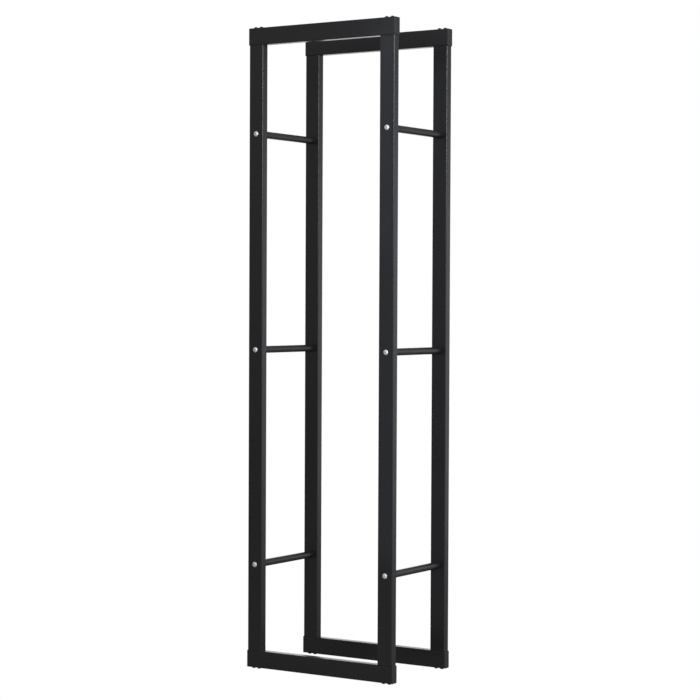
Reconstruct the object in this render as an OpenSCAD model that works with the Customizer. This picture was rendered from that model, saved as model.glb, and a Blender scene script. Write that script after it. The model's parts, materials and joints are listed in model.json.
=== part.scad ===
// Firewood log rack: two tall rectangular frames of steel tube, joined
// front to back by round cross rods. It is a knock-down design. Each frame is
// two posts standing between two rails, and every joint is screwed.
//
// Frame of the model: X is the width, Y the depth with the front at -Y, and Z
// is up. The origin is on the floor, under the middle of the rack.

/* [Rack] */
// Width over the end caps of the rails
rack_w = 400; // [300:5:1200]
// Depth from the front face of the front frame to the back face of the back one
rack_d = 255; // [180:1:400]
// Height from the floor to the top of the hole plugs
rack_h = 1500; // [800:10:2000]

/* [Frame tube] */
// Width of a post, across the front of the rack
post_w = 38; // [32:0.5:60]
// Height of a rail
rail_h = 40; // [32:0.5:60]
// Depth of the tube, the same for posts and rails so that they lie flush
tube_d = 20; // [18:0.5:40]
// Wall of the tube
tube_wall = 1.2; // [0.9:0.1:2]
// Outer corner radius of the tube
tube_r = 2; // [1:0.1:3]

/* [Cross rods] */
// Outer diameter of a rod
rod_d = 16.5; // [13:0.25:20]
// Wall of a rod
rod_wall = 1.5; // [1:0.1:2]
// Height of the lowest rods above the floor
rod_low = 245; // [80:1:300]
// Distance of the highest rods below the top of the rack
rod_top_gap = 249; // [80:1:300]
// Length of the threaded insert in each end of a rod
insert_len = 16; // [14:1:30]

/* [Rod screws] */
// Thread diameter of a rod screw
rod_screw_d = 6; // [4:0.5:7]
// Diameter of its button head
rod_head_d = 12.5; // [9.5:0.1:14]
// Height of its button head
rod_head_h = 3; // [2.5:0.1:4]
// Width across the flats of its hexagon socket
rod_socket_w = 4; // [3:0.5:5]
// How far it reaches into the insert
rod_screw_grip = 12; // [8:0.5:13]

/* [Rail screws] */
// Thread diameter of a screw that clamps a rail to a post
rail_screw_d = 5; // [4:0.5:6]
// Diameter of its cylindrical head
rail_head_d = 8; // [7:0.1:10]
// Height of its cylindrical head
rail_head_h = 5; // [3:0.1:6]
// Width across the flats of its hexagon socket
rail_socket_w = 4; // [2.5:0.5:5]
// Distance between the two screws in one post's end
rail_screw_pitch = 15.5; // [14:0.5:18]
// How far it reaches into the nut block
rail_screw_grip = 10; // [6:0.5:12]
// Height of the nut block in each end of a post
nut_block_h = 12; // [12:0.5:25]

/* [Plastic parts] */
// Thickness of an end cap's flange
cap_flange = 2; // [1.2:0.1:4]
// Chamfer round the outer face of the flange
cap_chamfer = 0.7; // [0.3:0.1:1]
// Wall of an end cap's plug
cap_wall = 1.6; // [1:0.1:2.5]
// How far a hole plug's head covers the wall round the access hole
plug_lip = 0.75; // [0.5:0.05:2]
// Height of a hole plug's head, which is a foot under the bottom rails
plug_h = 3; // [2:0.1:5]
// Diameter of the flat on a hole plug's head
plug_flat_d = 6; // [3:0.1:7]
// Length of a hole plug's stem
plug_stem = 5; // [4:0.5:8]

/* [Clearances] */
// Gap all round a screw in a hole that it passes through
hole_gap = 0.3; // [0.1:0.05:0.5]
// Gap all round a screw in its thread
thread_gap = 0.05; // [0.03:0.01:0.1]
// Gap all round an insert in a rod and a nut block in a post
insert_gap = 0.05; // [0.03:0.01:0.1]
// Gap all round a rail screw's head in the access hole
access_gap = 0.25; // [0.15:0.05:0.4]
// Gap all round a hole plug's stem, and round an end cap's plug
plug_gap = 0.15; // [0.1:0.05:0.3]
// Gap all round the thin fins of an end cap, which grip the tube
fin_gap = 0.05; // [0.03:0.01:0.1]

/* [Hidden] */
$fn = 64;
eps = 0.5;                     // how far a cut runs past the wall that it opens

// The places that repeat: each name goes with its direction
FACES = [["front", -1], ["back", 1]];
SIDES = [["left", -1], ["right", 1]];
ENDS = [["bottom", -1], ["top", 1]];
LEVELS = ["lower", "middle", "upper"];

function post_name(f, s) = str("post_", f[0], "_", s[0]);
function rail_name(f, e) = str("rail_", f[0], "_", e[0]);
function cap_name(f, e, s) = str("end_cap_", f[0], "_", e[0], "_", s[0]);
function rod_name(s, l) = str("rod_", s[0], "_", l);
function inserts_name(s, l) = str("rod_inserts_", s[0], "_", l);
function rod_screws_name(f, s) = str("rod_screws_", f[0], "_", s[0]);
function rail_screws_name(f, e) = str("rail_screws_", f[0], "_", e[0]);
function nut_blocks_name(f, s) = str("nut_blocks_", f[0], "_", s[0]);
function hole_plugs_name(f) = str("hole_plugs_", f[0], "_top");
function feet_name(f) = str("plug_feet_", f[0], "_bottom");

powder_black = "#1d1d1f";
plastic_black = "#151516";
zinc = "#b9bcc0";
raw_steel = "#85878a";

// Where the frame tubes stand
rail_len = rack_w - 2 * cap_flange;
post_x = rail_len / 2 - post_w / 2;
frame_y = rack_d / 2 - tube_d / 2;
post_z = plug_h + rail_h;
post_len = rack_h - 2 * post_z;

// The cross rods fill the space between the two frames
rod_len = rack_d - 2 * tube_d;
rod_bore = rod_d - 2 * rod_wall;
rod_step = (rack_h - rod_top_gap - rod_low) / (len(LEVELS) - 1);

// Inside of the tube
bore_r = max(tube_r - tube_wall, 0.2);

// A rail screw is dropped through the access hole in the rail's outer wall
access_d = rail_head_d + 2 * access_gap;
plug_d = access_d + 2 * plug_lip;
rail_screw_x = [for (s = SIDES, k = [-1, 1]) s[1] * post_x + k * rail_screw_pitch / 2];

// An end cap's plug stops short of the nearest rail screw's head
cap_head_room = 0.8;
cap_plug_len = (post_w - rail_screw_pitch - access_d) / 2 - cap_head_room;
fin_t = 0.8;
fin_depth = 0.7;               // how far the fins stand out of the plug's body

// Tips and sockets of the screws
tip_chamfer = 0.6;
rod_socket_depth = 0.7;        // depth of a socket against its head's height
rail_socket_depth = 0.6;
button_flat_share = 0.5;       // diameter of the flat on a button head against its own

// Height of a named rod's axis
function rod_z(l) = rod_low + search([l], LEVELS)[0] * rod_step;

// Height of a rail's axis
function rail_z(e) = rack_h / 2 + e[1] * (rack_h / 2 - plug_h - rail_h / 2);

// Turns +Z to the outside of the rack, up at the top and down at the bottom
module outward(e) {
    rotate([e[1] < 0 ? 180 : 0, 0, 0]) children();
}

// Puts children at one rail's axis, with +Z to the outside
module at_rail(f, e) {
    translate([0, f[1] * frame_y, rail_z(e)]) outward(e) children();
}

// Rectangle with round corners, centred on the origin
module round_rect(w, h, r) {
    square([w - 2 * r, h], center = true);
    square([w, h - 2 * r], center = true);
    for (x = [-1, 1], y = [-1, 1])
        translate([x * (w / 2 - r), y * (h / 2 - r)]) circle(r);
}

// The clear space inside a w by h tube, less a gap all round
module tube_bore(w, h, gap = 0) {
    inset = 2 * (tube_wall + gap);
    round_rect(w - inset, h - inset, bore_r);
}

// Section of a w by h frame tube
module tube_section(w, h) {
    difference() {
        round_rect(w, h, tube_r);
        tube_bore(w, h);
    }
}

// Low dome that stands on z = 0, with a flat top: part of one sphere
module dome(base_d, flat_d, h) {
    drop = (pow(base_d, 2) - pow(flat_d, 2) - 4 * pow(h, 2)) / (8 * h);
    intersection() {
        translate([0, 0, -drop]) sphere(r = sqrt(pow(base_d / 2, 2) + pow(drop, 2)));
        cylinder(d = base_d + 1, h = h);
    }
}

// Hexagon socket, w across its flats, cut down from z = 0
module hex_socket(w, depth) {
    translate([0, 0, -depth]) cylinder(d = w / cos(30), h = depth + eps, $fn = 6);
}

// Shank that hangs down from z = 0 and ends in a chamfered tip
module shank(d, length) {
    translate([0, 0, tip_chamfer - length]) cylinder(d = d, h = length - tip_chamfer);
    translate([0, 0, -length]) cylinder(d1 = d - 2 * tip_chamfer, d2 = d, h = tip_chamfer);
}

// Post: upright tube, drilled through for the rod screws
module post(f, s) {
    color(powder_black)
    difference() {
        translate([s[1] * post_x, f[1] * frame_y, post_z])
            linear_extrude(height = post_len) tube_section(post_w, tube_d);
        for (l = LEVELS)
            translate([s[1] * post_x, f[1] * frame_y, rod_z(l)])
                rotate([90, 0, 0])
                    cylinder(d = rod_screw_d + 2 * hole_gap, h = tube_d + 2 * eps, center = true);
    }
}

// Rail: level tube, with access holes outside and screw holes towards the post
module rail(f, e) {
    color(powder_black)
    at_rail(f, e)
    difference() {
        rotate([90, 0, 90])
            linear_extrude(height = rail_len, center = true) tube_section(tube_d, rail_h);
        for (x = rail_screw_x) {
            translate([x, 0, 0]) cylinder(d = access_d, h = rail_h / 2 + eps);
            translate([x, 0, -rail_h / 2 - eps])
                cylinder(d = rail_screw_d + 2 * hole_gap, h = rail_h / 2 + eps);
        }
    }
}

// Profile of a flange across one span: straight at the tube, chamfered outside
module flange_profile(span) {
    corner = cap_flange - cap_chamfer;
    polygon([
        [0, -span / 2], [corner, -span / 2], [cap_flange, cap_chamfer - span / 2],
        [cap_flange, span / 2 - cap_chamfer], [corner, span / 2], [0, span / 2]
    ]);
}

// Flange of an end cap: the rail's outline, with the profile across depth and height
module cap_flange_plate() {
    intersection() {
        rotate([90, 0, 90]) linear_extrude(height = cap_flange) round_rect(tube_d, rail_h, tube_r);
        linear_extrude(height = rail_h + eps, center = true) flange_profile(tube_d);
        rotate([90, 0, 0]) linear_extrude(height = tube_d + eps, center = true) flange_profile(rail_h);
    }
}

// End cap: flange over the tube's end, with a hollow finned plug inside it
module end_cap(f, e, s) {
    color(plastic_black)
    at_rail(f, e)
    mirror([s[1] < 0 ? 1 : 0, 0, 0])
    translate([rail_len / 2, 0, 0]) {
        cap_flange_plate();
        translate([-cap_plug_len, 0, 0]) rotate([90, 0, 90]) difference() {
            union() {
                linear_extrude(height = cap_plug_len) tube_bore(tube_d, rail_h, plug_gap + fin_depth);
                for (share = [1, 2])
                    translate([0, 0, share * cap_plug_len / 3 - fin_t / 2])
                        linear_extrude(height = fin_t) tube_bore(tube_d, rail_h, fin_gap);
            }
            translate([0, 0, -eps]) linear_extrude(height = cap_plug_len + eps)
                tube_bore(tube_d, rail_h, plug_gap + fin_depth + cap_wall);
        }
    }
}

// Cross rod: round tube between the back face of one post and the front of the other
module rod(s, l) {
    color(powder_black)
    translate([s[1] * post_x, 0, rod_z(l)]) rotate([90, 0, 0]) difference() {
        cylinder(d = rod_d, h = rod_len, center = true);
        cylinder(d = rod_bore, h = rod_len + 2 * eps, center = true);
    }
}

// Threaded inserts: one slug fixed in each end of a rod
module rod_inserts(s, l) {
    color(raw_steel)
    for (f = FACES)
        translate([s[1] * post_x, f[1] * rod_len / 2, rod_z(l)])
            rotate([f[1] * 90, 0, 0]) difference() {
                cylinder(d = rod_bore - 2 * insert_gap, h = insert_len);
                translate([0, 0, -eps])
                    cylinder(d = rod_screw_d + 2 * thread_gap, h = insert_len + 2 * eps);
            }
}

// Button-head screws that hold the rods' ends to one post
module rod_screws(f, s) {
    color(zinc)
    for (l = LEVELS)
        translate([s[1] * post_x, f[1] * rack_d / 2, rod_z(l)])
            rotate([f[1] * -90, 0, 0]) difference() {
                union() {
                    dome(rod_head_d, rod_head_d * button_flat_share, rod_head_h);
                    shank(rod_screw_d, tube_d + rod_screw_grip);
                }
                translate([0, 0, rod_head_h]) hex_socket(rod_socket_w, rod_head_h * rod_socket_depth);
            }
}

// Screws inside one rail that clamp its inner wall to the posts' nut blocks
module rail_screws(f, e) {
    color(zinc)
    at_rail(f, e)
    for (x = rail_screw_x)
        translate([x, 0, tube_wall - rail_h / 2]) difference() {
            union() {
                cylinder(d = rail_head_d, h = rail_head_h);
                shank(rail_screw_d, tube_wall + rail_screw_grip);
            }
            translate([0, 0, rail_head_h]) hex_socket(rail_socket_w, rail_head_h * rail_socket_depth);
        }
}

// Nut blocks: a tapped steel block fixed in each end of one post
module nut_blocks(f, s) {
    color(raw_steel)
    for (e = ENDS)
        at_rail(f, e)
        translate([s[1] * post_x, 0, -rail_h / 2 - nut_block_h]) difference() {
            linear_extrude(height = nut_block_h) tube_bore(post_w, tube_d, insert_gap);
            for (k = [-1, 1])
                translate([k * rail_screw_pitch / 2, 0, -eps])
                    cylinder(d = rail_screw_d + 2 * thread_gap, h = nut_block_h + 2 * eps);
        }
}

// Hole plug: domed head outside the wall, and a hollow stem with a snap ring inside
module hole_plug() {
    stem_d = access_d - 2 * plug_gap;
    stem_wall = 1.2;
    ring_out = 0.35;
    dome(plug_d, plug_flat_d, plug_h);
    translate([0, 0, -plug_stem]) difference() {
        union() {
            cylinder(d = stem_d, h = plug_stem);
            translate([0, 0, plug_stem - tube_wall - plug_gap - 2 * ring_out])
                cylinder(d1 = stem_d, d2 = stem_d + 2 * ring_out, h = 2 * ring_out);
        }
        translate([0, 0, -eps]) cylinder(d = stem_d - 2 * stem_wall, h = plug_stem + eps);
    }
}

// Hole plugs along the outer wall of one rail
module rail_plugs(f, e) {
    color(plastic_black)
    at_rail(f, e)
    for (x = rail_screw_x) translate([x, 0, rail_h / 2]) hole_plug();
}

module hole_plugs(f) {
    rail_plugs(f, ENDS[1]);
}

// The plugs under a bottom rail are the feet that the rack stands on
module plug_feet(f) {
    rail_plugs(f, ENDS[0]);
}

for (f = FACES, s = SIDES)
    post(f, s);
for (f = FACES, e = ENDS)
    rail(f, e);
for (f = FACES, e = ENDS, s = SIDES)
    end_cap(f, e, s);
for (s = SIDES, l = LEVELS)
    rod(s, l);
for (s = SIDES, l = LEVELS)
    rod_inserts(s, l);
for (f = FACES, s = SIDES)
    rod_screws(f, s);
for (f = FACES, e = ENDS)
    rail_screws(f, e);
for (f = FACES, s = SIDES)
    nut_blocks(f, s);
for (f = FACES)
    hole_plugs(f);
for (f = FACES)
    plug_feet(f);
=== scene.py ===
"""Looks for the firewood log rack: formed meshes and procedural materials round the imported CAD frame.

Metres throughout, in the CAD's frame: X is the width, Y the depth with the front at -Y, Z up.
Every visible piece is rebuilt here from the box of its CAD node. The pieces sealed inside the tubes
keep their CAD meshes and get a machined steel or zinc finish.
"""

import json
import math

import bmesh
import bpy
from mathutils import Matrix, Vector


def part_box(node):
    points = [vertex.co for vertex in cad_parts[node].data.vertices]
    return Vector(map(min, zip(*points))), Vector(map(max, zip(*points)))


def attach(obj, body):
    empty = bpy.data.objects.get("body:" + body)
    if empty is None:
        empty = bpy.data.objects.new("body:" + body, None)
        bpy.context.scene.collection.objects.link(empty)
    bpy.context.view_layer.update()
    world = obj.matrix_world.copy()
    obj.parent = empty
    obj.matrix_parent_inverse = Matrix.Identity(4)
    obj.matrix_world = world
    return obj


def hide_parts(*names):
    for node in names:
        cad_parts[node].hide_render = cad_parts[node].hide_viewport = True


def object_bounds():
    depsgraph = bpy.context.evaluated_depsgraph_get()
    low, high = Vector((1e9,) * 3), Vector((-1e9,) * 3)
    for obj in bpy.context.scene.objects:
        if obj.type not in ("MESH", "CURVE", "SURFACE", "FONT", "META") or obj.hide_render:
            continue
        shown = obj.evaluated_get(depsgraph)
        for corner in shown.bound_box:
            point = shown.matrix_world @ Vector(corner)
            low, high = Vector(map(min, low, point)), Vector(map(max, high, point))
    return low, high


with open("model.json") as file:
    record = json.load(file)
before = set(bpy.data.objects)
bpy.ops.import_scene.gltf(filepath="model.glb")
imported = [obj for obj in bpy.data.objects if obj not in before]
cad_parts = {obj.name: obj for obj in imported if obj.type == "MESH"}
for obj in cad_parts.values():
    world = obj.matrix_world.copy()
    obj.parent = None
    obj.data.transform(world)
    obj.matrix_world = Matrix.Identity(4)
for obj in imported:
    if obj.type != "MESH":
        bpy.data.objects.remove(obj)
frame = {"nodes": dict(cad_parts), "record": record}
CAD_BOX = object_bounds()
NODES = frame["nodes"]

MM = 0.001

# Tube sections, as in the CAD
TUBE_WALL = 1.2 * MM
TUBE_CORNER = 2.0 * MM
BORE_CORNER = TUBE_CORNER - TUBE_WALL
ROD_WALL = 1.5 * MM

CUT_EDGE = 0.25 * MM  # rounding that the powder coat gives to a sawn end, which the CAD leaves square

# Holes, as in the CAD. The first three are radii.
ROD_SCREW_HOLE = 3.3 * MM
ACCESS_HOLE = 4.25 * MM
RAIL_SCREW_HOLE = 2.8 * MM
RAIL_SCREW_PITCH = 15.5 * MM

# End caps, as in the CAD. An inset is measured in from the tube's outer faces.
CAP_FLANGE = 2.0 * MM
CAP_WALL = 1.6 * MM
CAP_PLUG_INSET = TUBE_WALL + 0.85 * MM
CAP_FIN_INSET = TUBE_WALL + 0.05 * MM
CAP_FIN = 0.8 * MM
CAP_FIN_PLACES = (2 / 3, 1 / 3)  # shares of the plug's length, from the far fin to the near one

# Details of the end caps that only the looks have
CAP_EDGE = 0.8 * MM  # rounding of the flange's outer edge, where the CAD has a chamfer
CAP_GROOVE = 0.5 * MM  # relief round the flange where it meets the tube
CAP_GROOVE_LIP = 0.1 * MM  # softening of the groove's outer edge
CAP_HOLLOW = 0.3 * MM  # how far the plug's hollow goes into the flange
CAP_PLUG_CORNER = 0.4 * MM

# Hole plugs, as in the CAD
PLUG_HEAD = 3.0 * MM
PLUG_RADIUS = 5.0 * MM
PLUG_FLAT = 3.0 * MM
PLUG_STEM = 4.1 * MM
PLUG_STEM_LENGTH = 5.0 * MM
PLUG_WALL = 1.2 * MM  # wall of the hollow stem
PLUG_RING = 0.35 * MM  # how far the snap ring stands out of the stem
PLUG_RING_TOP = 0.15 * MM  # how far past the tube's wall the ring's step is
PLUG_RING_FOOT = 0.85 * MM  # how far past the tube's wall the ring's ramp ends

# Details of the hole plugs that only the looks have
PLUG_FLOOR = 1.0 * MM  # solid part of the stem, under the head
PLUG_LEAD = 0.3 * MM  # taper of the stem's tip, across it
PLUG_LEAD_LENGTH = 0.5 * MM  # and along it
PLUG_UNDERCUT = 0.1 * MM  # how far the head's underside stops short of its rim
PLUG_LIP = 0.12 * MM  # height at which the head's dome begins
PLUG_SOFTEN = 0.25 * MM  # softening of the edge of the head's flat

# Button-head screws, as in the CAD
SCREW_HEAD_RADIUS = 6.25 * MM
SCREW_HEAD_HEIGHT = 3.0 * MM
SCREW_FLAT = 3.125 * MM
SCREW_RADIUS = 3.0 * MM
SCREW_LENGTH = 32.0 * MM
SCREW_TIP = 0.6 * MM  # chamfer at the end of the thread
SOCKET_FLATS = 4.0 * MM
SOCKET_DEPTH = 2.1 * MM

# Details of the button-head screws that only the looks have
SCREW_UNDERCUT = 0.2 * MM  # how far the head's underside stops short of its rim
SCREW_LIP = 0.15 * MM  # height at which the head's dome begins
SCREW_SOFT_OUT = 0.12 * MM  # the flat's soft edge: how far it goes out, down and in
SCREW_SOFT_DOWN = 0.07 * MM
SCREW_SOFT_IN = 0.05 * MM
SOCKET_LEAD = 0.2 * MM  # widening at the socket's mouth, across the flats
SOCKET_CONE = 0.4 * MM  # drill point at the socket's floor
SCREW_TURNS = (0.35, 0.8, 0.1)  # how far each screw up a post is turned, in radians

# How far and how strongly painted shade darkens the base colour of plated metal in its recesses
PAINTED_SHADE_REACH = 2.5 * MM
RECESS_PAINTED_SHADE = 0.4

# How finely curves are cut
CORNER_STEPS = 6
EDGE_STEPS = 4
CAP_EDGE_STEPS = 6
PLUG_DOME_STEPS = 8
SCREW_DOME_STEPS = 10
SOCKET_STEPS = 8  # along each side of the hexagon
ROUND_STEPS = 64
HOLE_STEPS = 8  # across a hole's cell
HOLE_MARGIN = 1.2 * MM  # half the cell's length, less the radius of its larger hole
SMOOTH_BAND = 0.15 * MM  # narrow band that keeps flat faces flat beside a curve
SMALLEST_CORNER = 0.02 * MM
ON_AXIS = 1e-7  # a radius no larger than this is a point on the axis

# Which way each side faces: front and back along Y, left and right along X, bottom and top along Z
FACES = {"front": -1, "back": 1}
SIDES = {"left": -1, "right": 1}
ENDS = {"bottom": -1, "top": 1}
LEVELS = ("lower", "middle", "upper")


# ---------------------------------------------------------------- mesh tools


class Builder:
    """Collects the vertices, faces and crisp edges of one mesh."""

    def __init__(self):
        self.vertices = []
        self.faces = []
        self.sharp_edges = set()

    def add_ring(self, points):
        """Adds the points and returns their indices."""
        start = len(self.vertices)
        self.vertices.extend(points)
        return list(range(start, start + len(points)))

    def bridge(self, ring_a, ring_b, skip=()):
        """Joins two closed rings of the same length with quads, leaving out the edges in skip."""
        count = len(ring_a)
        for i in range(count):
            if i in skip:
                continue
            j = (i + 1) % count
            self.faces.append((ring_a[i], ring_a[j], ring_b[j], ring_b[i]))

    def mark_sharp(self, ring):
        """Keeps a crisp edge along a closed ring."""
        for a, b in zip(ring, ring[1:] + ring[:1]):
            self.sharp_edges.add((min(a, b), max(a, b)))

    def make(self, name, material, matrix=None):
        """Returns the finished object, with outward normals and smooth shading."""
        mesh = bpy.data.meshes.new(name)
        mesh.from_pydata([tuple(v) for v in self.vertices], [], self.faces)
        if matrix is not None:
            mesh.transform(matrix)
        recalculate_normals(mesh)
        mesh.polygons.foreach_set("use_smooth", [True] * len(mesh.polygons))
        if self.sharp_edges:
            sharp = mesh.attributes.new("sharp_edge", "BOOLEAN", "EDGE")
            values = [tuple(sorted(e.vertices)) in self.sharp_edges for e in mesh.edges]
            sharp.data.foreach_set("value", values)
        mesh.materials.append(material)
        mesh.validate()
        piece = bpy.data.objects.new(name, mesh)
        bpy.context.scene.collection.objects.link(piece)
        return piece


def recalculate_normals(mesh):
    """Turns every face of a closed mesh to the outside."""
    work = bmesh.new()
    work.from_mesh(mesh)
    bmesh.ops.recalc_face_normals(work, faces=work.faces)
    work.to_mesh(mesh)
    work.free()


def round_rectangle(width, height, radius):
    """Points round a rectangle with round corners, anticlockwise from near the right side's upper end.

    Each arc has a support point just outside either end, so that smooth shading stays flat
    between corners. The count is the same whatever the size.
    """
    radius = max(radius, SMALLEST_CORNER)
    band = min(SMOOTH_BAND, (min(width, height) / 2 - radius) / 3)
    points = []
    for k, (sx, sy) in enumerate(((1, 1), (-1, 1), (-1, -1), (1, -1))):
        centre = Vector((sx * (width / 2 - radius), sy * (height / 2 - radius)))
        start = k * math.pi / 2
        along_in = Vector((-math.sin(start), math.cos(start)))
        points.append(centre + radius * Vector((math.cos(start), math.sin(start))) - band * along_in)
        for step in range(CORNER_STEPS + 1):
            turn = start + step / CORNER_STEPS * math.pi / 2
            points.append(centre + radius * Vector((math.cos(turn), math.sin(turn))))
        turn = start + math.pi / 2
        along_out = Vector((-math.sin(turn), math.cos(turn)))
        points.append(centre + radius * Vector((math.cos(turn), math.sin(turn))) + band * along_out)
    return points


POINTS_PER_CORNER = CORNER_STEPS + 3
TOP_EDGE = POINTS_PER_CORNER - 1  # index of the long edge along local +Y
BOTTOM_EDGE = 3 * POINTS_PER_CORNER - 1  # index of the long edge along local -Y


def quarter_round(steps):
    """(inset, advance) pairs of a unit quarter circle, from the straight side to the end."""
    turns = [i / steps * math.pi / 2 for i in range(steps + 1)]
    return [(1 - math.cos(t), math.sin(t)) for t in turns]


def hole_levels(centre, half):
    """Heights of the rings that cross one hole's cell."""
    return [centre - half + 2 * half * i / HOLE_STEPS for i in range(HOLE_STEPS + 1)]


def tube_mesh(width, height, length, holes):
    """Builder of a rectangular tube along local Z, from 0 to length, pierced through both Y walls.

    holes is a list of (centre along Z, radius in the +Y wall, radius in the -Y wall).
    """
    build = Builder()
    cells = []
    levels = []
    for centre, radius_top, radius_bottom in sorted(holes):
        half = max(radius_top, radius_bottom) + HOLE_MARGIN
        cells.append((len(levels), centre, {TOP_EDGE: radius_top, BOTTOM_EDGE: radius_bottom}))
        levels.extend(hole_levels(centre, half))

    def surface(inset, corner):
        """Rings along one wall surface, from the lower end to the upper end, and its holes' rims."""
        first = CUT_EDGE + SMOOTH_BAND
        last = length - CUT_EDGE - SMOOTH_BAND
        heights = [CUT_EDGE, first] + levels + [last, length - CUT_EDGE]
        outline = round_rectangle(width - 2 * inset, height - 2 * inset, corner)
        rings = [build.add_ring([Vector((p.x, p.y, z)) for p in outline]) for z in heights]
        rims = {}
        for i, (lower, upper) in enumerate(zip(rings, rings[1:])):
            inside = [c for c in cells if c[0] <= i - 2 < c[0] + HOLE_STEPS]
            build.bridge(lower, upper, skip=(TOP_EDGE, BOTTOM_EDGE) if inside else ())
        for start, centre, radii in cells:
            for edge, radius in radii.items():
                cell = rings[start + 2 : start + 2 + HOLE_STEPS + 1]
                rims[start, edge] = pierce(build, cell, edge, centre, radius)
        return rings, rims

    outer, outer_rims = surface(0.0, TUBE_CORNER)
    inner, inner_rims = surface(TUBE_WALL, BORE_CORNER)
    for key, rim in outer_rims.items():
        build.bridge(rim, inner_rims[key])
        build.mark_sharp(rim)
        build.mark_sharp(inner_rims[key])
    for end, sign, at in ((0, -1, 0.0), (-1, 1, length)):
        close_wall(build, outer[end], inner[end], width, height, at, sign)
    return build


def pierce(build, rings, edge, centre, radius):
    """Fills one flat cell of a wall round a circular hole, and returns the hole's rim.

    The rim starts towards the cell's lower right corner. A quarter of its points face each side
    of the cell, as many as the cell has steps along its length.
    """
    steps = len(rings) - 1
    left = [ring[edge] for ring in rings]
    right = [ring[(edge + 1) % len(ring)] for ring in rings]
    wall_y = build.vertices[left[0]].y
    toward_right = 1 if build.vertices[right[0]].x > build.vertices[left[0]].x else -1
    rim = []
    for i in range(4 * steps):
        turn = -math.pi / 4 + i / (4 * steps) * 2 * math.pi
        x = toward_right * radius * math.cos(turn)
        rim.append(Vector((x, wall_y, centre + radius * math.sin(turn))))
    rim = build.add_ring(rim)
    for i in range(steps):
        build.faces.append((right[i], right[i + 1], rim[i + 1], rim[i]))
        a = rim[(2 * steps + i) % len(rim)]
        b = rim[(2 * steps + i + 1) % len(rim)]
        build.faces.append((left[steps - i], left[steps - i - 1], b, a))
    over = [rim[i] for i in range(2 * steps, steps - 1, -1)]
    under = [rim[i % len(rim)] for i in range(4 * steps, 3 * steps - 1, -1)]
    build.faces.append([right[steps], left[steps]] + over)
    build.faces.append([left[0], right[0]] + under)
    return rim


def close_wall(build, outer_ring, inner_ring, width, height, at, sign):
    """Rounds the cut end of a tube, from its outer surface over the wall to its bore."""
    previous = outer_ring
    for inset_share, advance in quarter_round(EDGE_STEPS)[1:]:
        inset = inset_share * CUT_EDGE
        z = at - sign * CUT_EDGE * (1 - advance)
        previous = extend(build, previous, width, height, inset, TUBE_CORNER - inset, z)
    half_wall = TUBE_WALL / 2
    previous = extend(build, previous, width, height, half_wall, TUBE_CORNER - half_wall, at)
    for inset_share, advance in reversed(quarter_round(EDGE_STEPS)[1:]):
        inset = TUBE_WALL - inset_share * CUT_EDGE
        z = at - sign * CUT_EDGE * (1 - advance)
        previous = extend(build, previous, width, height, inset, TUBE_CORNER - inset, z)
    build.bridge(previous, inner_ring)


def extend(build, previous, width, height, inset, corner, z):
    """Adds one more round-cornered ring and joins it to the one before."""
    outline = round_rectangle(width - 2 * inset, height - 2 * inset, corner)
    ring = build.add_ring([Vector((p.x, p.y, z)) for p in outline])
    build.bridge(previous, ring)
    return ring


def lathe(build, profile, matrix=None, steps=ROUND_STEPS, sharp=()):
    """Turns (radius, z) points about local Z, and returns the last ring.

    A radius of 0 closes the surface with a fan. sharp lists the profile points whose edges stay crisp.
    """
    matrix = matrix or Matrix.Identity(4)
    previous = None
    for index, (radius, z) in enumerate(profile):
        if radius <= ON_AXIS:
            ring = build.add_ring([matrix @ Vector((0, 0, z))])
        else:
            turns = [2 * math.pi * i / steps for i in range(steps)]
            points = [matrix @ Vector((radius * math.cos(t), radius * math.sin(t), z)) for t in turns]
            ring = build.add_ring(points)
        if previous is not None:
            join_rings(build, previous, ring)
        if index in sharp:
            build.mark_sharp(ring)
        previous = ring
    return previous


def join_rings(build, ring_a, ring_b):
    """Bridges two rings, or a ring and a single point."""
    if len(ring_a) == len(ring_b):
        build.bridge(ring_a, ring_b)
        return
    point, ring = (ring_a[0], ring_b) if len(ring_a) == 1 else (ring_b[0], ring_a)
    for a, b in zip(ring, ring[1:] + ring[:1]):
        build.faces.append((a, b, point))


def dome_profile(base, flat, height, lip, steps):
    """(radius, z) from the base of a low dome up to the rim of its flat top, over a small lip."""
    drop = (base**2 - flat**2 - height**2) / (2 * height)
    sphere = math.hypot(base, drop)
    start = math.asin((drop + lip) / sphere)
    end = math.asin((drop + height) / sphere)
    points = []
    for i in range(steps + 1):
        turn = start + (end - start) * i / steps
        points.append((sphere * math.cos(turn), sphere * math.sin(turn) - drop))
    return points


def hexagon(across_flats):
    """Points round a hexagon, with as many along each side."""
    turns = [i * math.pi / 3 for i in range(6)]
    corners = [across_flats / math.sqrt(3) * Vector((math.cos(t), math.sin(t))) for t in turns]
    points = []
    for a, b in zip(corners, corners[1:] + corners[:1]):
        points += [a.lerp(b, i / SOCKET_STEPS) for i in range(SOCKET_STEPS)]
    return points


def rotation_to(x, y, z):
    """Rotation whose local axes point along these unit vectors."""
    return Matrix((x, y, z)).transposed().to_4x4()


def place(direction_z, direction_x, origin):
    """Matrix whose local Z and X point in the given directions."""
    z = Vector(direction_z).normalized()
    x = Vector(direction_x).normalized()
    return Matrix.Translation(Vector(origin)) @ rotation_to(x, z.cross(x), z)


# ---------------------------------------------------------------- materials

# Sockets of a Mix node that blends colours, which share their names with its other sockets
MIX_FACTOR = 0
MIX_COLOUR_A = 6
MIX_COLOUR_B = 7
MIX_COLOUR_RESULT = 2


def new_material(name):
    """A material with a Principled shader, and its nodes and links."""
    material = bpy.data.materials.new(name)
    material.use_nodes = True
    nodes, links = material.node_tree.nodes, material.node_tree.links
    return material, nodes, links, nodes["Principled BSDF"]


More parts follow.
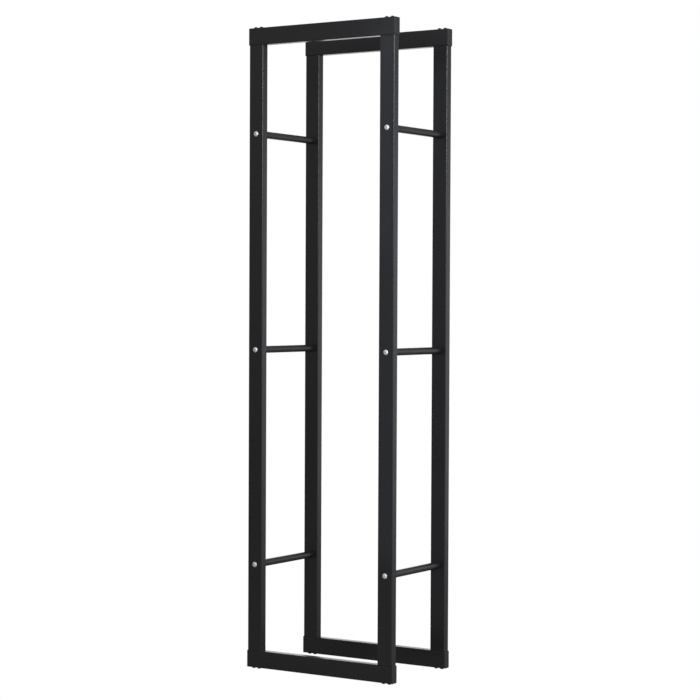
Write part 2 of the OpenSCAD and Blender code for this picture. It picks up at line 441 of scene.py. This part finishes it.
def noise(nodes, links, source, scale, detail, roughness=0.5):
    """A noise texture in the object's own metres."""
    texture = nodes.new("ShaderNodeTexNoise")
    texture.inputs["Scale"].default_value = scale
    texture.inputs["Detail"].default_value = detail
    texture.inputs["Roughness"].default_value = roughness
    links.new(source, texture.inputs["Vector"])
    return texture.outputs["Fac"]


def spread(nodes, links, source, low, high, from_low=0.3, from_high=0.7):
    """Maps a value to a range. The span that it comes from suits a noise texture, unless it is given."""
    node = nodes.new("ShaderNodeMapRange")
    node.inputs["From Min"].default_value = from_low
    node.inputs["From Max"].default_value = from_high
    node.inputs["To Min"].default_value = low
    node.inputs["To Max"].default_value = high
    links.new(source, node.inputs["Value"])
    return node.outputs["Result"]


def mix_colour(nodes, links, factor, colour_a, colour_b):
    """Blends two colours by a value."""
    node = nodes.new("ShaderNodeMix")
    node.data_type = "RGBA"
    node.inputs[MIX_COLOUR_A].default_value = (*colour_a, 1)
    node.inputs[MIX_COLOUR_B].default_value = (*colour_b, 1)
    links.new(factor, node.inputs[MIX_FACTOR])
    return node.outputs[MIX_COLOUR_RESULT]


def bump(nodes, links, height, distance, strength, before=None):
    """A bump of that depth in metres, added to the one before."""
    node = nodes.new("ShaderNodeBump")
    node.inputs["Distance"].default_value = distance
    node.inputs["Strength"].default_value = strength
    links.new(height, node.inputs["Height"])
    if before is not None:
        links.new(before, node.inputs["Normal"])
    return node.outputs["Normal"]


def darken(nodes, links, colour, painted_shade_share):
    """Scales a colour by a value."""
    node = nodes.new("ShaderNodeVectorMath")
    node.operation = "SCALE"
    links.new(colour, node.inputs[0])
    links.new(painted_shade_share, node.inputs["Scale"])
    return node.outputs[0]


def powder_coat(name, dark, light, roughness):
    """Black powder coat: a fine grain over a slow orange peel, slightly uneven in sheen."""
    material, nodes, links, shader = new_material(name)
    place_at = nodes.new("ShaderNodeTexCoord").outputs["Object"]
    patches = noise(nodes, links, place_at, scale=9.0, detail=2.0)
    grain = noise(nodes, links, place_at, scale=2400.0, detail=3.0, roughness=0.6)
    peel = noise(nodes, links, place_at, scale=420.0, detail=2.0)
    colour = mix_colour(nodes, links, spread(nodes, links, grain, 0.0, 1.0), dark, light)
    links.new(colour, shader.inputs["Base Color"])
    sheen = spread(nodes, links, patches, roughness - 0.04, roughness + 0.05)
    links.new(sheen, shader.inputs["Roughness"])
    relief = bump(nodes, links, peel, distance=0.05 * MM, strength=0.35)
    relief = bump(nodes, links, grain, distance=0.03 * MM, strength=0.45, before=relief)
    links.new(relief, shader.inputs["Normal"])
    shader.inputs["Specular IOR Level"].default_value = 0.5
    return material


def moulded_plastic(name, dark, light, roughness):
    """Black moulded plastic with a fine spark-eroded grain."""
    material, nodes, links, shader = new_material(name)
    place_at = nodes.new("ShaderNodeTexCoord").outputs["Object"]
    grain = noise(nodes, links, place_at, scale=3200.0, detail=2.0, roughness=0.65)
    flow = noise(nodes, links, place_at, scale=160.0, detail=2.0)
    colour = mix_colour(nodes, links, spread(nodes, links, flow, 0.0, 1.0), dark, light)
    links.new(colour, shader.inputs["Base Color"])
    sheen = spread(nodes, links, grain, roughness - 0.05, roughness + 0.05)
    links.new(sheen, shader.inputs["Roughness"])
    relief = bump(nodes, links, grain, distance=0.02 * MM, strength=0.4)
    links.new(relief, shader.inputs["Normal"])
    return material


def plated_metal(name, dark, light, roughness, grain_scale):
    """Zinc-plated or machined steel, mottled and finely scratched, with painted shade darkening its base
    colour in recesses.
    """
    material, nodes, links, shader = new_material(name)
    place_at = nodes.new("ShaderNodeTexCoord").outputs["Object"]
    mottle = noise(nodes, links, place_at, scale=700.0, detail=3.0)
    scratch = noise(nodes, links, place_at, scale=grain_scale, detail=2.0, roughness=0.6)
    colour = mix_colour(nodes, links, spread(nodes, links, mottle, 0.0, 1.0), dark, light)
    # painted shade: ambient occlusion scales the base colour down in recesses and creases
    recess_shade = nodes.new("ShaderNodeAmbientOcclusion")
    recess_shade.samples = 8
    recess_shade.only_local = True
    recess_shade.inputs["Distance"].default_value = PAINTED_SHADE_REACH
    painted_shade_share = spread(nodes, links, recess_shade.outputs["AO"], RECESS_PAINTED_SHADE, 1.0, from_low=0.25, from_high=0.8)
    links.new(darken(nodes, links, colour, painted_shade_share), shader.inputs["Base Color"])
    sheen = spread(nodes, links, mottle, roughness - 0.06, roughness + 0.08)
    links.new(sheen, shader.inputs["Roughness"])
    relief = bump(nodes, links, scratch, distance=0.01 * MM, strength=0.35)
    links.new(relief, shader.inputs["Normal"])
    shader.inputs["Metallic"].default_value = 0.5
    return material


FINISH = {
    "powder_black": powder_coat(
        "powder_black", dark=(0.0115, 0.0115, 0.0122), light=(0.0165, 0.0165, 0.0178), roughness=0.3
    ),
    "rod_powder_black": powder_coat(
        "rod_powder_black", dark=(0.012, 0.012, 0.0128), light=(0.017, 0.017, 0.0183), roughness=0.34
    ),
    "cap_plastic": moulded_plastic(
        "cap_plastic", dark=(0.015, 0.015, 0.016), light=(0.02, 0.02, 0.021), roughness=0.46
    ),
    "plug_plastic": moulded_plastic(
        "plug_plastic", dark=(0.012, 0.012, 0.0125), light=(0.016, 0.016, 0.0165), roughness=0.42
    ),
    "screw_zinc": plated_metal(
        "screw_zinc", dark=(0.75, 0.76, 0.78), light=(0.87, 0.88, 0.89), roughness=0.55, grain_scale=5000.0
    ),
    "insert_steel": plated_metal(
        "insert_steel", dark=(0.42, 0.42, 0.43), light=(0.55, 0.55, 0.56), roughness=0.38, grain_scale=4000.0
    ),
}


# ---------------------------------------------------------------- pieces


def corners(node):
    """Lowest and highest corners of a CAD node's box."""
    low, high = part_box(node)
    return Vector(low), Vector(high)


def middle(node):
    """Centre of a CAD node's box."""
    low, high = corners(node)
    return (low + high) / 2


def stand_for(piece, node):
    """The piece rides with the rack and replaces its CAD node."""
    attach(piece, "root")
    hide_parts(node)


def rod_heights():
    """Height of the rods' axes at each level."""
    return [middle(f"rod_left_{level}").z for level in LEVELS]


def make_post(face, side):
    """Upright tube, drilled through at each rod."""
    node = f"post_{face}_{side}"
    low, high = corners(node)
    size = high - low
    holes = [(z - low.z, ROD_SCREW_HOLE, ROD_SCREW_HOLE) for z in rod_heights()]
    build = tube_mesh(size.x, size.y, size.z, holes)
    centre = middle(node)
    matrix = Matrix.Translation((centre.x, centre.y, low.z))
    piece = build.make(f"coated_{node}", FINISH["powder_black"], matrix)
    stand_for(piece, node)


def screw_places():
    """X of the four screws along a rail."""
    places = []
    for side in SIDES:
        post_x = middle(f"post_front_{side}").x
        places += [post_x - RAIL_SCREW_PITCH / 2, post_x + RAIL_SCREW_PITCH / 2]
    return places


def make_rail(face, end):
    """Level tube, with access holes in its outer wall and screw holes towards the posts."""
    node = f"rail_{face}_{end}"
    low, high = corners(node)
    size = high - low
    holes = [(x - low.x, ACCESS_HOLE, RAIL_SCREW_HOLE) for x in screw_places()]
    build = tube_mesh(size.y, size.z, size.x, holes)
    centre = middle(node)
    outward = Vector((0, 0, ENDS[end]))
    along = Vector((1, 0, 0))
    rotation = rotation_to(outward.cross(along), outward, along)
    matrix = Matrix.Translation((low.x, centre.y, centre.z)) @ rotation
    piece = build.make(f"coated_{node}", FINISH["powder_black"], matrix)
    stand_for(piece, node)


def cap_profile(plug):
    """(inset, z) of an end cap's rings, with z = 0 at the tube's end and a plug that long inside it.

    The first list runs from the hollow's floor to the groove, and its edges stay crisp. The second
    has the rings of the soft flange.
    """
    hollow_inset = CAP_PLUG_INSET + CAP_WALL
    crisp = [(hollow_inset, CAP_HOLLOW), (hollow_inset, -plug), (CAP_PLUG_INSET, -plug)]
    for painted_shade_share in CAP_FIN_PLACES:
        fin = -plug * painted_shade_share
        crisp += [(CAP_PLUG_INSET, fin - CAP_FIN / 2), (CAP_FIN_INSET, fin - CAP_FIN / 6)]
        crisp += [(CAP_FIN_INSET, fin + CAP_FIN / 2), (CAP_PLUG_INSET, fin + CAP_FIN / 2)]
    crisp += [(CAP_PLUG_INSET, 0.0), (CAP_GROOVE, 0.0), (CAP_GROOVE_LIP, CAP_GROOVE - CAP_GROOVE_LIP)]
    straight = CAP_FLANGE - CAP_EDGE
    soft = [(0.0, CAP_GROOVE + CAP_GROOVE_LIP), (0.0, straight)]
    soft += [(CAP_EDGE * i, straight + CAP_EDGE * a) for i, a in quarter_round(CAP_EDGE_STEPS)]
    soft += [(CAP_EDGE + 2 * SMOOTH_BAND, CAP_FLANGE)]
    return crisp, soft


def cap_mesh(width, height, plug):
    """Builder of an end cap along local Z, with its flange outwards."""
    crisp, soft = cap_profile(plug)
    build = Builder()
    previous = None
    for index, (inset, z) in enumerate(crisp + soft):
        corner = TUBE_CORNER - inset if inset < TUBE_CORNER else CAP_PLUG_CORNER
        outline = round_rectangle(width - 2 * inset, height - 2 * inset, corner)
        ring = build.add_ring([Vector((p.x, p.y, z)) for p in outline])
        if previous is None:
            build.faces.append(ring)
        else:
            build.bridge(previous, ring)
        if 0 < index < len(crisp):  # the hollow's floor can't be seen, and isn't marked
            build.mark_sharp(ring)
        previous = ring
    build.faces.append(previous)
    return build


def make_cap(face, end, side):
    """End cap: soft-edged flange over the tube's end, and a hollow finned plug inside it."""
    node = f"end_cap_{face}_{end}_{side}"
    low, high = corners(node)
    size = high - low
    build = cap_mesh(size.y, size.z, size.x - CAP_FLANGE)
    tube_end = (high.x - CAP_FLANGE) if side == "right" else (low.x + CAP_FLANGE)
    centre = middle(node)
    outward = Vector((SIDES[side], 0, 0))
    up = Vector((0, 0, 1))
    rotation = rotation_to(up.cross(outward), up, outward)
    matrix = Matrix.Translation((tube_end, centre.y, centre.z)) @ rotation
    piece = build.make(f"moulded_{node}", FINISH["cap_plastic"], matrix)
    stand_for(piece, node)


def make_rod(side, level):
    """Cross rod: round tube with softly rounded ends."""
    node = f"rod_{side}_{level}"
    low, high = corners(node)
    radius = (high.x - low.x) / 2
    half = (high.y - low.y) / 2
    bore = radius - ROD_WALL
    edge = [(radius - CUT_EDGE * i, CUT_EDGE * a) for i, a in quarter_round(EDGE_STEPS)]
    end = [(r, half - CUT_EDGE + advance) for r, advance in edge]
    profile = [(radius, 0.0), (radius, half - 2 * CUT_EDGE)] + end
    profile += [(bore + CUT_EDGE, half), (bore, half - CUT_EDGE), (bore, 0.0)]
    profile += [(bore, -half + CUT_EDGE), (bore + CUT_EDGE, -half)]
    profile += [(r, -z) for r, z in reversed(end)] + [(radius, -half + 2 * CUT_EDGE)]
    build = Builder()
    last_ring = lathe(build, profile)
    first_ring = list(range(ROUND_STEPS))
    build.bridge(last_ring, first_ring)
    matrix = place((0, 1, 0), (1, 0, 0), middle(node))
    piece = build.make(f"coated_{node}", FINISH["rod_powder_black"], matrix)
    stand_for(piece, node)


def add_hole_plug(build, matrix):
    """Domed head, a stem with a snap ring, and the hollow up the stem."""
    bore = PLUG_STEM - PLUG_WALL
    ring_foot = -TUBE_WALL - PLUG_RING_FOOT
    ring_top = -TUBE_WALL - PLUG_RING_TOP
    profile = [(0.0, -PLUG_FLOOR), (bore, -PLUG_FLOOR), (bore, -PLUG_STEM_LENGTH)]
    profile += [(PLUG_STEM - PLUG_LEAD, -PLUG_STEM_LENGTH), (PLUG_STEM, -PLUG_STEM_LENGTH + PLUG_LEAD_LENGTH)]
    profile += [(PLUG_STEM, ring_foot), (PLUG_STEM + PLUG_RING, ring_top)]
    profile += [(PLUG_STEM, ring_top), (PLUG_STEM, 0.0), (PLUG_RADIUS - PLUG_UNDERCUT, 0.0)]
    tapers = (4, 5)  # the upper end of the tip's taper, and the foot of the ring's ramp
    crisp = [i for i in range(1, len(profile)) if i not in tapers]
    profile += dome_profile(PLUG_RADIUS, PLUG_FLAT, PLUG_HEAD, PLUG_LIP, PLUG_DOME_STEPS)[:-1]
    profile += [(PLUG_FLAT + PLUG_SOFTEN, PLUG_HEAD - PLUG_SOFTEN / 2), (PLUG_FLAT, PLUG_HEAD)]
    profile += [(PLUG_FLAT - PLUG_SOFTEN, PLUG_HEAD), (0.0, PLUG_HEAD)]
    lathe(build, profile, matrix, sharp=crisp)


def make_plugs(node, face, end):
    """The four hole plugs along one rail's outer wall."""
    rail = f"rail_{face}_{end}"
    low, high = corners(rail)
    wall_z = high.z if end == "top" else low.z
    build = Builder()
    for x in screw_places():
        add_hole_plug(build, place((0, 0, ENDS[end]), (1, 0, 0), (x, middle(rail).y, wall_z)))
    piece = build.make(f"moulded_{node}", FINISH["plug_plastic"])
    stand_for(piece, node)


def add_hexagon_ring(build, matrix, across_flats, z):
    """Adds a ring of points round a hexagon at that height, and returns their indices."""
    return build.add_ring([matrix @ Vector((p.x, p.y, z)) for p in hexagon(across_flats)])


def add_button_screw(build, matrix):
    """Button-head screw with a hexagon socket, its underside on local z = 0."""
    profile = [(0.0, -SCREW_LENGTH), (SCREW_RADIUS - SCREW_TIP, -SCREW_LENGTH)]
    profile += [(SCREW_RADIUS, SCREW_TIP - SCREW_LENGTH), (SCREW_RADIUS, 0.0)]
    profile += [(SCREW_HEAD_RADIUS - SCREW_UNDERCUT, 0.0)]
    crisp = range(1, len(profile))
    dome = dome_profile(SCREW_HEAD_RADIUS, SCREW_FLAT, SCREW_HEAD_HEIGHT, SCREW_LIP, SCREW_DOME_STEPS)
    profile += dome[:-1]
    profile += [(SCREW_FLAT + SCREW_SOFT_OUT, SCREW_HEAD_HEIGHT - SCREW_SOFT_DOWN)]
    profile += [(SCREW_FLAT - SCREW_SOFT_IN, SCREW_HEAD_HEIGHT)]
    steps = 6 * SOCKET_STEPS
    top = lathe(build, profile, matrix, steps, sharp=crisp)
    floor_z = SCREW_HEAD_HEIGHT - SOCKET_DEPTH
    lip = add_hexagon_ring(build, matrix, SOCKET_FLATS + SOCKET_LEAD, SCREW_HEAD_HEIGHT)
    wall_top = add_hexagon_ring(build, matrix, SOCKET_FLATS, SCREW_HEAD_HEIGHT - SOCKET_LEAD / 2)
    wall_bottom = add_hexagon_ring(build, matrix, SOCKET_FLATS, floor_z)
    cone = build.add_ring([matrix @ Vector((0, 0, floor_z - SOCKET_CONE))])
    build.bridge(top, lip)
    build.bridge(lip, wall_top)
    build.bridge(wall_top, wall_bottom)
    join_rings(build, wall_bottom, cone)
    for ring in (lip, wall_top, wall_bottom):
        build.mark_sharp(ring)
    for corner in range(0, steps, SOCKET_STEPS):
        build.sharp_edges.add((wall_top[corner], wall_bottom[corner]))


def make_rod_screws(face, side):
    """The three button-head screws up one post."""
    node = f"rod_screws_{face}_{side}"
    low, high = corners(f"post_{face}_{side}")
    outside = low.y if face == "front" else high.y
    outward = (0, FACES[face], 0)
    build = Builder()
    for turn, z in zip(SCREW_TURNS, rod_heights()):
        across = (math.cos(turn), 0, math.sin(turn))
        add_button_screw(build, place(outward, across, (middle(node).x, outside, z)))
    piece = build.make(f"plated_{node}", FINISH["screw_zinc"])
    stand_for(piece, node)


def finish_cad_nodes():
    """Gives each CAD node its slot's finish. The pieces inside the tubes keep it and their CAD meshes."""
    slots = {entry["node"]: entry["material_slot"] for entry in frame["record"]["subparts"]}
    for name, node in NODES.items():
        for material_slot in node.material_slots:
            material_slot.material = FINISH[slots[name]]


finish_cad_nodes()
for face_name in FACES:
    for side_name in SIDES:
        make_post(face_name, side_name)
        make_rod_screws(face_name, side_name)
    for end_name in ENDS:
        make_rail(face_name, end_name)
        for side_name in SIDES:
            make_cap(face_name, end_name, side_name)
    make_plugs(f"hole_plugs_{face_name}_top", face_name, "top")
    make_plugs(f"plug_feet_{face_name}_bottom", face_name, "bottom")
for side_name in SIDES:
    for level_name in LEVELS:
        make_rod(side_name, level_name)


# ---------------------------------------------------------------- stage

CAMERA_AZIMUTH = math.radians(32.724)  # round from the front towards the right
CAMERA_DISTANCE = 4.765  # level distance from the rack's axis
CAMERA_HEIGHT = 0.8628
CAMERA_TRACK = 0.0017  # sideways step, to the right
CAMERA_PITCH = math.radians(-1.379)
CAMERA_ROLL = math.radians(0.249)
CAMERA_SENSOR = 36.0  # mm
CAMERA_LENS = 104.74  # mm

FLOOR_SIZE = 60.0
FLOOR_GREY = 0.36  # what the floor reflects, though the camera sees white paper

# Strength of the surround, which rises from straight in front to beside the rack and is even behind it
SURROUND_IN_FRONT = 0.28
SURROUND_BEHIND = 0.4


def make_camera():
    """Camera at the photograph's viewing angle."""
    data = bpy.data.cameras.new("camera")
    data.sensor_width = CAMERA_SENSOR
    data.lens = CAMERA_LENS
    camera = bpy.data.objects.new("camera", data)
    bpy.context.scene.collection.objects.link(camera)
    toward = Vector((-math.sin(CAMERA_AZIMUTH), math.cos(CAMERA_AZIMUTH), 0))
    right = Vector((math.cos(CAMERA_AZIMUTH), math.sin(CAMERA_AZIMUTH), 0))
    look = toward * math.cos(CAMERA_PITCH) + Vector((0, 0, math.sin(CAMERA_PITCH)))
    up = right.cross(look)
    roll_right = right * math.cos(CAMERA_ROLL) + up * math.sin(CAMERA_ROLL)
    roll_up = up * math.cos(CAMERA_ROLL) - right * math.sin(CAMERA_ROLL)
    rotation = rotation_to(roll_right, roll_up, -look)
    position = -toward * CAMERA_DISTANCE + right * CAMERA_TRACK + Vector((0, 0, CAMERA_HEIGHT))
    camera.matrix_world = Matrix.Translation(position) @ rotation
    bpy.context.scene.camera = camera


def split_by_camera(nodes, links, lighting, seen):
    """A surface or surround that the camera sees as one shader, and all other rays as another."""
    mix = nodes.new("ShaderNodeMixShader")
    links.new(nodes.new("ShaderNodeLightPath").outputs["Is Camera Ray"], mix.inputs[0])
    links.new(lighting.outputs[0], mix.inputs[1])
    links.new(seen.outputs[0], mix.inputs[2])
    return mix.outputs[0]


def make_floor():
    """Plain floor, wide enough to pass behind the rack in every view."""
    half = FLOOR_SIZE / 2
    outline = [(-half, -half, 0), (half, -half, 0), (half, half, 0), (-half, half, 0)]
    mesh = bpy.data.meshes.new("floor")
    mesh.from_pydata(outline, [], [(0, 1, 2, 3)])
    material, nodes, links, shader = new_material("floor_paper")
    shader.inputs["Base Color"].default_value = (FLOOR_GREY, FLOOR_GREY, FLOOR_GREY, 1)
    shader.inputs["Roughness"].default_value = 0.9
    shader.inputs["Specular IOR Level"].default_value = 0.0
    paper = nodes.new("ShaderNodeEmission")
    paper.inputs["Strength"].default_value = 1.0
    surface = split_by_camera(nodes, links, shader, paper)
    links.new(surface, nodes["Material Output"].inputs["Surface"])
    mesh.materials.append(material)
    floor = bpy.data.objects.new("floor", mesh)
    bpy.context.scene.collection.objects.link(floor)


def make_world():
    """Studio surround, dimmer in front, with plain white paper where the camera looks past the rack."""
    world = bpy.data.worlds.new("studio")
    bpy.context.scene.world = world
    world.use_nodes = True
    nodes, links = world.node_tree.nodes, world.node_tree.links
    nodes.clear()
    surround = nodes.new("ShaderNodeBackground")
    surround.inputs["Color"].default_value = (0.99, 0.995, 1.0, 1)
    direction = nodes.new("ShaderNodeSeparateXYZ")
    links.new(nodes.new("ShaderNodeTexCoord").outputs["Generated"], direction.inputs[0])
    y = direction.outputs["Y"]
    strength = spread(nodes, links, y, SURROUND_IN_FRONT, SURROUND_BEHIND, from_low=-1.0, from_high=0.0)
    links.new(strength, surround.inputs["Strength"])
    paper = nodes.new("ShaderNodeBackground")
    paper.inputs["Color"].default_value = (1, 1, 1, 1)
    paper.inputs["Strength"].default_value = 1.0
    output = nodes.new("ShaderNodeOutputWorld")
    links.new(split_by_camera(nodes, links, surround, paper), output.inputs["Surface"])


def softbox(name, position, target, width, height, radiance, colour=(1, 1, 1)):
    """Rectangular area light of that brightness, facing its target and left out of the picture."""
    data = bpy.data.lights.new(name, "AREA")
    data.shape = "RECTANGLE"
    data.size = width
    data.size_y = height
    data.energy = radiance * math.pi * width * height
    data.color = colour
    light = bpy.data.objects.new(name, data)
    bpy.context.scene.collection.objects.link(light)
    light.location = position
    light.rotation_euler = (Vector(target) - Vector(position)).to_track_quat("-Z", "Y").to_euler()
    light.visible_camera = False


def make_panels():
    """Two panels behind the rack, a key in front on the right and a fill near the top."""
    low, high = CAD_BOX
    axis = (0, 0, 0.7)
    waist = Vector((0, 0, (low.z + high.z) / 2))
    shoulder = Vector((high.x, low.y, high.z - 0.15))
    violet = (0.92, 0.91, 1.0)
    cool = (0.96, 0.98, 1.0)
    cooler = (0.93, 0.96, 1.0)
    softbox("back_panel", (1.6, 2.2, 0.7), axis, width=1.6, height=1.5, radiance=0.67, colour=violet)
    softbox("key", (2.6, -1.4, 1.8), waist, width=2.0, height=0.8, radiance=14.0, colour=cool)
    softbox("backdrop", (-1.4, 2.1, 0.7), axis, width=1.6, height=1.4, radiance=1.2)
    softbox("top_fill", (0.1, -0.75, 1.75), shoulder, width=0.4, height=0.4, radiance=1.9, colour=cooler)


def make_strips():
    """Two strips close to the front right post, which light its front face more than the others."""
    low, high = CAD_BOX
    inward = 0.13  # from the rack's right side to the strips
    ahead = 0.21  # from the rack's front to the strips
    post_inward = 0.02  # from the rack's right side to the middle of the post
    strip = Vector((high.x - inward, low.y - ahead, 0))
    post = Vector((high.x - post_inward, low.y, 0))
    blue = (0.72, 0.77, 1.0)
    for name, foot, radiance in (("long_strip", 0.25, 0.31), ("short_strip", 1.0, 0.22)):
        height = high.z - foot
        level = Vector((0, 0, foot + height / 2))
        softbox(name, strip + level, post + level, 0.09, height, radiance, colour=blue)


make_camera()
make_floor()
make_world()
make_panels()
make_strips()
bpy.context.scene.view_settings.view_transform = "Standard"
